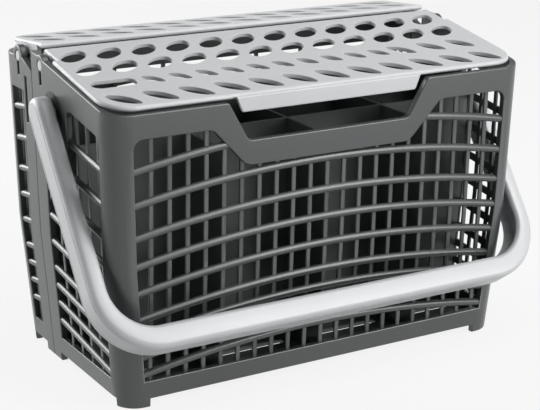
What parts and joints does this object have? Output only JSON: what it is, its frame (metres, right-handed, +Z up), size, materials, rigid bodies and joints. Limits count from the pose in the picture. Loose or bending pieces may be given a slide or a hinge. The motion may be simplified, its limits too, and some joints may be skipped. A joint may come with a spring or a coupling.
{
  "type": "dishwasher cutlery basket",
  "caption": "lattice cutlery basket for a dishwasher, split along an upright seam, with hinged slotted lids and a swinging carrying handle",
  "frame": {"origin": "on the surface the basket stands on, under the middle of the whole object at rest", "axes": "+X along the basket, +Y from the finger notch in front to the back, +Z up"},
  "size_m": [0.2436, 0.1344, 0.1559],
  "materials": {
    "basket": "satin",
    "lid": "satin",
    "handle": "semi-gloss"
  },
  "bodies": {
    "basket": {"front_basket": "basket", "rear_basket": "basket"},
    "front_lid": {"front_lid": "lid"},
    "rear_lid": {"rear_lid": "lid"},
    "handle": {"handle": "handle"}
  },
  "joints": [
    {"name": "front_lid_hinge", "type": "hinge", "parent": "basket", "child": "front_lid", "pos_m": [0, 0.02079, 0.14727], "axis": [-1, 0, 0], "range_deg": [0, 100]},
    {"name": "rear_lid_hinge", "type": "hinge", "parent": "basket", "child": "rear_lid", "pos_m": [0, 0.04679, 0.14727], "axis": [1, 0, 0], "range_deg": [0, 90]},
    {"name": "handle_hinge", "type": "hinge", "parent": "basket", "child": "handle", "pos_m": [0, 0.00779, 0.128], "axis": [-1, 0, 0], "range_deg": [0, 286]}
  ]
}
